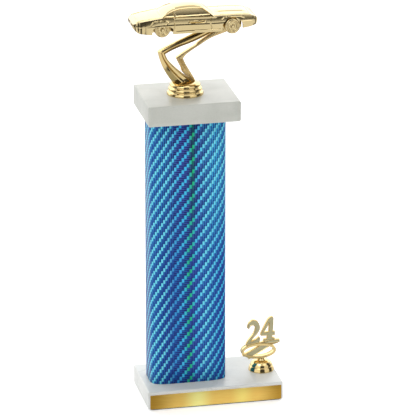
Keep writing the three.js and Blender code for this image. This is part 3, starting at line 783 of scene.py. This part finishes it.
def cabin_rings():
    """Rings round the roof and windows, the glass set in behind its pillars and drip rail."""
    xs = np.linspace(-42, 19.5, 190)
    top = through(xs, ROOF)[:, None]
    x = xs[:, None]
    sill = 9.5

    t = np.linspace(0, 1, 34)[None, :]
    eave = np.maximum(top - 1.5, sill + 0.4)
    z_side = sill + t * (eave - sill)
    y_side = 18.9 - 0.40 * (z_side - sill) - 0.012 * (z_side - sill) ** 2
    glass = between(z_side, 13.9, 99, 0.5) * between(eave - z_side, 1.0, 99, 0.5)
    glass = glass * between(x, -35.5, 13.5, 0.6) * (1 - between(x + 0.18 * (z_side - 14), -25.2, -23.4, 0.5))
    y_side = y_side - 0.8 * glass
    y_side = y_side + 0.45 * near(t, 0.975, 0.05)

    s = np.linspace(1, 0, 26)[None, 1:]
    y_eave = 18.9 - 0.40 * (eave - sill) - 0.012 * (eave - sill) ** 2
    y_top = y_eave * s
    z_top = eave + (top - eave) * (1 - s**2.6) + 0.6 * (1 - s**2)
    screen = between(x, 8.6, 17.6, 0.7) * between(s, -1, 0.86, 0.06)
    rear_glass = between(x, -38.0, -23.5, 0.8) * between(s, -1, 0.80, 0.06)
    z_top = z_top - 0.7 * screen - 0.7 * rear_glass

    rings = []
    for i in range(len(xs)):
        right = [(xs[i], -y, z) for y, z in zip(y_side[i], z_side[i])]
        right += [(xs[i], -y, z) for y, z in zip(y_top[i], z_top[i])]
        left = [(px, -py, pz) for px, py, pz in reversed(right[:-1])]
        rings.append(right + left)
    return np.array(rings)


def in_car(rings):
    return np.asarray(rings, float) + (CAR_X, 0, CAR_Z)


def oval_bar(half_width, half_height, x, y0, y1, sides=72):
    """A scratch bar across the car, its end an ellipse about the wheel centre."""
    angles = np.arange(sides) * 2 * math.pi / sides
    oval = [(x + half_width * math.cos(a), half_height * math.sin(a)) for a in angles]
    rings = [[(x, y, z) for x, z in oval] for y in (y0, y1)]
    return skin("arch", in_car(rings))


def bar_in_car(x0, x1, y0, y1, z0, z1):
    return block("bar", (CAR_X + x0, y0, CAR_Z + z0), (CAR_X + x1, y1, CAR_Z + z1))


def make_car_body():
    body = skin("car_coupe_body", in_car(hull_rings()))
    join(body, skin("cabin", in_car(cabin_rings())))
    cavity = [
        [(x, y, z) for y, z in ((-w, -9), (w, -9), (w, h), (-w, h))]
        for x, w, h in ((-63, 15.5, 5.5), (-50, 18.2, 8.5), (18, 18.2, 8.5), (46, 18.0, 8), (58, 15.5, 6))
    ]
    cut(body, skin("cavity", in_car(cavity)))
    for x, arch in ((-HALF_WHEELBASE, REAR_ARCH), (HALF_WHEELBASE, FRONT_ARCH)):
        wide, tall = arch["half_width"], arch["top"]
        for side in (-1, 1):
            out, mid, face = 30 * side, 12 * side, (arch["wheel_face"] + 0.4) * side
            cut(
                body,
                oval_bar(wide, tall, x, min(out, mid), max(out, mid)),
                bar_in_car(x - wide, x + wide, min(out, mid), max(out, mid), -12, -0.5),
                oval_bar(10.2, 10.2, x, min(face, mid), max(face, mid)),
            )
    cut(body, *[bar_in_car(64.6, 72, y, y + 4.2, 4.2, 6.0) for y in (-13.6, -8.8, 4.6, 9.4)])
    cut(body, *[bar_in_car(65.0, 72, -3.8, 3.8, z, z + 0.6) for z in (3.3, 4.5, 5.7)])
    cut(body, *[bar_in_car(-80, -68.2, y, y + 8, 4.2, 6.0) for y in (-12.5, 4.5)])
    piece(body, "figure", [CAR_GOLD], ["car_body"], crease=30)


def make_wheel(name, x, side, face, node):
    """A moulded wheel: tyre shoulder, whitewall step, trim ring, dished cap with a raised centre."""
    profile = rounded([
        (2.5, 0), (7.6, 0), (8.4, 0.7), (8.4, 3.9), (7.9, 4.6), (7.0, 5.0), (6.5, 5.0), (6.2, 4.55),
        (5.9, 4.55), (5.6, 4.9), (5.0, 4.9), (4.6, 4.3), (2.6, 4.1), (2.2, 4.5), (1.9, 5.1), (0.9, 5.3),
    ], 0.25, 4)
    rings = [*profile, (0, 5.35), (0, 3.2), (2.5, 3.2), (2.5, 0)]
    sides = 72
    angles = np.arange(sides) * 2 * math.pi / sides
    points = [
        [(x + r * math.cos(a), side * (face - 5 + h), r * math.sin(a)) for a in angles] for r, h in rings
    ]
    wheel = skin(name, in_car(points), caps=False)
    spokes = []
    for k in range(10):
        a = k * math.pi / 5
        across = np.array([math.cos(a), math.sin(a)])
        aside = np.array([-across[1], across[0]]) * 0.28
        corners = [across * r + aside * s for r, s in ((2.9, -1), (2.9, 1), (4.4, 1.5), (4.4, -1.5))]
        depth = sorted((side * (face - 1.2), side * (face + 2)))
        spokes.append(skin("slot", in_car([[(x + px, y, pz) for px, pz in corners] for y in depth])))
    cut(wheel, *spokes)
    piece(wheel, "figure", [CAR_GOLD], [node])


def make_wheels():
    for end, x, arch in (("rear", -HALF_WHEELBASE, REAR_ARCH), ("front", HALF_WHEELBASE, FRONT_ARCH)):
        for label, side in (("right", -1), ("left", 1)):
            node = f"wheel_{end}_{label}"
            make_wheel(f"{node}_moulded", x, side, arch["wheel_face"], node)


# ---------------------------------------------------------------- year trim


def make_trim_dome():
    profile = rounded([
        (14.4, 0), (14.4, 0.7), (13.9, 2.2), (13.2, 4.3), (12.7, 5.0), (12.3, 5.1), (12.5, 5.4), (11.6, 7.6),
        (9.9, 9.8), (7.9, 10.8), (7.2, 11.0),
    ], 0.35)
    hollow = rounded([
        (2.7, 9.5), (2.7, 8.8), (4.3, 8.8), (4.3, 0.5), (6.5, 0.5), (6.5, 8.6), (8.5, 8.2), (11, 4.5),
        (13, 0), (14.4, 0),
    ], 0.3)
    dome = lathe("trim_dome_turned", [*profile, (0, 11.0), (0, 9.5), *hollow], 120, TRIM_X, BASE_TOP)
    piece(dome, "year_trim", [MIRROR_GOLD], ["trim_dome"])


def inside(points, loops):
    """True for each point that an odd number of the loops go round."""
    x, z = points.T
    odd = np.zeros(len(points), bool)
    for loop in loops:
        for (ax, az), (bx, bz) in zip(loop, np.roll(loop, -1, axis=0)):
            if az != bz:
                crosses = (az > z) != (bz > z)
                odd ^= crosses & (x < ax + (z - az) * (bx - ax) / (bz - az))
    return odd


def cast_plate(name, edge, thick, rim, sink, openings=()):
    """A flat casting in the XZ plane: a bright raised rim round a sunk frosted face, alike on both sides."""
    loops = [np.array(loop) for loop in (edge, *openings)]

    def depth_in(points):
        x, z = points.T
        return np.min([to_line(x, z, np.vstack([loop, loop[:1]])) for loop in loops], axis=0)

    inner = []
    for loop in loops:
        along = np.roll(loop, -1, axis=0) - np.roll(loop, 1, axis=0)
        normal = np.column_stack([-along[:, 1], along[:, 0]]) / np.linalg.norm(along, axis=1)[:, None]
        for offset in (0.14, 0.3, rim, rim + 0.2, rim + 0.4):
            for side in (-offset, offset):
                moved = loop + normal * side
                inner.append(moved[depth_in(moved) > 0.97 * offset])
    low, high = loops[0].min(axis=0), loops[0].max(axis=0)
    grid = np.stack(np.meshgrid(np.arange(low[0], high[0], 0.9), np.arange(low[1], high[1], 0.9)), axis=-1)
    grid = grid.reshape(-1, 2)
    inner.append(grid[depth_in(grid) > rim + 0.6])
    inner = np.vstack(inner)
    inner = inner[inside(inner, loops)]

    joints, first = [], 0
    for loop in loops:
        joints += [(first + i, first + (i + 1) % len(loop)) for i in range(len(loop))]
        first += len(loop)
    flat = [Vector(p) for p in np.vstack([*loops, inner])]
    verts, _, faces, *_ = delaunay_2d_cdt(flat, joints, [], 0, 1e-5)
    verts = np.array([tuple(v) for v in verts])
    middles = np.array([verts[list(face)].mean(axis=0) for face in faces])
    keep = inside(middles, loops)
    faces = [face for face, kept in zip(faces, keep) if kept]

    depth = depth_in(verts)
    edge_drop = 0.3 * (1 - np.clip(depth / 0.3, 0, 1)) ** 2
    y = thick / 2 - edge_drop - sink * between(depth, rim + 0.2, 99, 0.4)
    count = len(verts)
    points = [(TRIM_X + x, -d, BASE_TOP + z) for (x, z), d in zip(verts, y)]
    points += [(TRIM_X + x, d, BASE_TOP + z) for (x, z), d in zip(verts, y)]
    shared = {}
    for face in faces:
        for a, b in zip(face, [*face[1:], face[0]]):
            shared[frozenset((a, b))] = shared.get(frozenset((a, b)), 0) + 1
    borders = [tuple(pair) for pair, uses in shared.items() if uses == 1]
    walls = [(a, b, b + count, a + count) for a, b in borders]
    back = [tuple(v + count for v in reversed(face)) for face in faces]
    plate = build(name, points, [*faces, *back, *walls])
    plate.data.materials.append(MIRROR_GOLD)
    plate.data.materials.append(FROSTED_GOLD)
    centres = np.array([face.center for face in plate.data.polygons]) / MM
    sunk = depth_in(centres[:, [0, 2]] - (TRIM_X, BASE_TOP)) > rim + 0.2
    plate.data.polygons.foreach_set("material_index", sunk.astype(int))
    return plate


def digit_two():
    return outline(
        [(-14.3, 48.8), (-16.5, 50.4)],
        [(-15.5, 54.0), (-14.0, 57.0), (-11.6, 58.8), (-9.1, 59.4), (-5.9, 58.3), (-3.4, 55.4), (-2.0, 51.0),
         (-2.2, 47.4), (-3.7, 44.4), (-5.9, 41.4), (-9.4, 37.6), (-11.6, 34.4)],
        [(-5.9, 36.8), (-3.2, 39.2)],
        [(-1.5, 37.5)], [(-2.4, 31.6)], [(-17.5, 29.4)], [(-17.6, 31.4)],
        [(-15.8, 34.8), (-13.3, 38.2), (-10.3, 41.9), (-8.4, 45.4), (-7.4, 48.8), (-7.9, 51.4), (-9.4, 52.8),
         (-11.3, 52.7), (-13.1, 51.2), (-14.3, 48.8)],
    )


def digit_four():
    edge = outline(
        [(12.3, 61.8), (13.4, 60.2)], [(13.3, 53.2), (12.8, 44.4)], [(15.1, 44.3)], [(15.2, 39.5)],
        [(12.1, 39.2)], [(11.9, 37.2)], [(15.0, 36.6)], [(15.0, 33.4)], [(2.0, 33.0)], [(2.4, 35.8)],
        [(5.9, 36.2)], [(6.2, 39.3)], [(-0.9, 39.9)], [(-1.5, 41.2)],
        [(2.0, 49.0), (6.4, 57.9), (8.9, 60.8), (12.3, 61.8)],
    )
    eye = outline([(8.4, 54.1), (7.9, 44.2)], [(3.2, 44.0)], [(3.9, 45.6), (6.9, 50.4), (8.4, 54.1)])
    return edge, eye


def platform():
    """The ribbon the digits stand on."""
    return outline(
        [(-17.4, 30.2), (-9.5, 31.0), (-2, 32.1), (6.0, 33.6), (13.0, 34.4), (20.4, 34.2)],
        [(20.4, 30.6)],
        [(13.4, 30.5), (4.0, 29.6), (-3.5, 28.4), (-15.2, 28.9)],
    )


def fishtail():
    """The ribbon that crosses the ring, down to its notched end."""
    return outline(
        [(18.5, 30.3), (10.8, 29.9), (3.0, 29.7), (-1.5, 29.2), (-3.9, 27.8), (-15.8, 21.4), (-21.9, 18.3)],
        [(-20.2, 16.9)], [(-16.4, 18.2)], [(-14.8, 13.1)],
        [(-4.4, 19.2), (5.9, 24.9), (11.5, 28.5)],
    )


def ellipse_ring():
    """The ring behind the ribbon: a flat band bent round an ellipse, thicker at its edges."""
    section = rounded(ring_of(np.array([
        (-1.3, -3.4), (1.3, -3.4), (1.5, -2.6), (0.9, -1.6), (0.9, 1.6), (1.5, 2.6), (1.3, 3.4), (-1.3, 3.4),
        (-1.5, 2.6), (-0.9, 1.6), (-0.9, -1.6), (-1.5, -2.6),
    ], float)), 0.3, 3)[:-1]
    rings = []
    for a in np.linspace(0, 2 * math.pi, 160, endpoint=False):
        normal = np.array([7.9 * math.cos(a), 18.4 * math.sin(a)])
        normal /= np.linalg.norm(normal)
        cx, cz = -3.4 + 18.2 * math.cos(a), 22.7 + 7.7 * math.sin(a)
        rings.append([(TRIM_X + cx + normal[0] * r, y, BASE_TOP + cz + normal[1] * r) for r, y in section])
    ring = skin("ring", rings, close=True)
    ring.data.materials.append(MIRROR_GOLD)
    ring.data.materials.append(FROSTED_GOLD)
    return ring


def make_trim_emblem():
    four, eye = digit_four()
    emblem = ellipse_ring()
    parts = [
        cast_plate("fishtail", fishtail(), 5.4, 0.7, 0.4),
        cast_plate("platform", platform(), 4.8, 0.6, 0.35),
        cast_plate("two", digit_two(), 4.0, 0.65, 0.4),
        cast_plate("four", four, 4.0, 0.65, 0.4, [eye]),
        lathe("stem", rounded([
            (0, 11), (4.9, 11), (4.7, 11.5), (3.6, 12.4), (3.1, 13.4), (3.5, 15.0), (0, 15.2),
        ], 0.3), 64, TRIM_X, BASE_TOP),
    ]
    join(emblem, *parts)
    emblem.name = "trim_year_emblem"
    piece(emblem, "year_trim", [], ["trim_emblem"], crease=40)


# ---------------------------------------------------------------- carried-over nodes


def finish_nodes():
    """Materials of the CAD nodes that stay as they are."""
    looks = {
        "felt_pad": FELT_GREEN,
        "name_plate_tape": TAPE,
        "column_plug_lower": WHITE_PLASTIC,
        "column_plug_upper": WHITE_PLASTIC,
        "tie_rod": ROD_THREAD,
        "rod_washer": STEEL,
        "rod_nut": STEEL,
        "riser_insert": BRASS,
        "car_chassis": CAR_GOLD,
        "trim_insert": BRASS,
        "trim_washer": STEEL,
        "trim_screw": SCREW_THREAD,
    }
    for name, material in looks.items():
        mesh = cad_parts[name].data
        mesh.materials.clear()
        mesh.materials.append(material)


# ---------------------------------------------------------------- studio


def make_floor():
    """A big white table, bright enough to lose its edges, and hidden from mirrors: see make_world()."""
    reach = 40
    corners = [(-reach, -reach, 0), (reach, -reach, 0), (reach, reach, 0), (-reach, reach, 0)]
    mesh = bpy.data.meshes.new("floor")
    mesh.from_pydata(corners, [], [(0, 1, 2, 3)])
    floor = bpy.data.objects.new("floor", mesh)
    bpy.context.scene.collection.objects.link(floor)
    s = Shader("floor_white", emission_strength=0.3)
    s.surface.inputs["Emission Color"].default_value = (1, 1, 1, 1)
    tone = s.noise(3, 2)
    color = s.mix(tone, (0.86, 0.86, 0.86, 1), (0.88, 0.88, 0.88, 1))
    mesh.materials.append(s.finish(color, s.spread(tone, 0.85, 0.95)))
    floor.visible_glossy = False


def make_world():
    """A light tent: bright behind and overhead, a softbox on each side of the camera, dark between them."""
    world = bpy.data.worlds.new("tent")
    bpy.context.scene.world = world
    world.use_nodes = True
    tree = world.node_tree

    def feed(socket, value):
        if isinstance(value, bpy.types.NodeSocket):
            tree.links.new(value, socket)
        else:
            socket.default_value = value

    def math_node(operation, *values):
        node = tree.nodes.new("ShaderNodeMath")
        node.operation = operation
        for socket, value in zip(node.inputs, values):
            feed(socket, value)
        return node.outputs["Value"]

    def clamped_share(length, soft):
        share = math_node("DIVIDE", length, soft)
        return math_node("MINIMUM", math_node("MAXIMUM", share, 0.0), 1.0)

    def window(value, low, high, soft):
        """1 from low to high, fading to 0 over soft on each side."""
        rise = clamped_share(math_node("SUBTRACT", value, low - soft), soft)
        fall = clamped_share(math_node("SUBTRACT", high + soft, value), soft)
        return math_node("MULTIPLY", rise, fall)

    where = tree.nodes.new("ShaderNodeTexCoord")
    parts = tree.nodes.new("ShaderNodeSeparateXYZ")
    feed(parts.inputs[0], where.outputs["Generated"])
    rise = math_node("DEGREES", math_node("ARCSINE", parts.outputs["Z"]))
    frontward = math_node("MULTIPLY", parts.outputs["Y"], -1.0)
    turn = math_node("DEGREES", math_node("ARCTAN2", parts.outputs["X"], frontward))
    behind = math_node("ABSOLUTE", turn)

    def lamp(level, *windows):
        light = level
        for one in windows:
            light = math_node("MULTIPLY", light, one)
        return light

    # The table hides this part from all but mirrors: white, with three dark bars that draw round shapes.
    bars = math_node("SUBTRACT", 1.0, window(turn, -20, -4, 3))
    bars = math_node("SUBTRACT", bars, window(turn, 64, 90, 4))
    bars = math_node("SUBTRACT", bars, window(turn, -114, -88, 4))

    total = math_node("ADD", 0.07, lamp(0.8, window(rise, 52, 91, 14)))
    for one in (
        lamp(2.0, window(rise, 4, 40, 8), window(behind, 125, 181, 12)),
        lamp(1.1, window(rise, 8, 58, 5), window(turn, -74, -24, 4)),
        lamp(0.95, window(rise, 8, 58, 5), window(turn, 22, 62, 4)),
        lamp(0.55, window(rise, 2, 45, 5), window(behind, 100, 125, 8)),
        lamp(0.92, window(rise, -91, -2, 2), bars),
    ):
        total = math_node("ADD", total, one)
    shine = tree.nodes["Background"]
    shine.inputs["Color"].default_value = (1, 1, 1, 1)
    feed(shine.inputs["Strength"], total)

    # The camera itself sees plain white past the table.
    white = tree.nodes.new("ShaderNodeBackground")
    white.inputs["Color"].default_value = (1, 1, 1, 1)
    mix = tree.nodes.new("ShaderNodeMixShader")
    feed(mix.inputs[0], tree.nodes.new("ShaderNodeLightPath").outputs["Is Camera Ray"])
    feed(mix.inputs[1], shine.outputs[0])
    feed(mix.inputs[2], white.outputs[0])
    feed(tree.nodes["World Output"].inputs["Surface"], mix.outputs[0])


def aim(obj, target):
    obj.rotation_euler = (Vector(target) - obj.location).to_track_quat("-Z", "Y").to_euler()


def area_light(name, place, target, width, height, power):
    data = bpy.data.lights.new(name, "AREA")
    data.shape = "RECTANGLE"
    data.size, data.size_y, data.energy = width, height, power
    light = bpy.data.objects.new(name, data)
    light.location = place
    aim(light, target)
    bpy.context.scene.collection.objects.link(light)


def make_lights():
    middle = (0, 0, 0.2)
    area_light("key", (-1.2, -1.5, 2.2), middle, 1.0, 1.0, 6)
    area_light("top", (0.1, 0.3, 2.6), middle, 1.4, 1.4, 8)


def make_camera():
    """A long lens 4 m away, 12 degrees to the left of the front and 20 degrees up."""
    azimuth, elevation, distance = math.radians(-12.34), math.radians(19.79), 4.0
    aim_at = Vector((0.0002, 0, 0.2156))
    back = Vector((
        math.sin(azimuth) * math.cos(elevation),
        -math.cos(azimuth) * math.cos(elevation),
        math.sin(elevation),
    ))
    data = bpy.data.cameras.new("camera")
    data.lens, data.sensor_width = 318, 36
    camera = bpy.data.objects.new("camera", data)
    camera.location = aim_at + back * distance
    aim(camera, aim_at)
    bpy.context.scene.collection.objects.link(camera)
    bpy.context.scene.camera = camera


make_camera()
make_world()
make_lights()
make_floor()
make_base()
make_name_plate()
make_column()
make_lid()
make_riser_foot()
make_riser_arms()
make_car_body()
make_wheels()
make_trim_dome()
make_trim_emblem()
finish_nodes()
bpy.context.scene.view_settings.view_transform = "Standard"
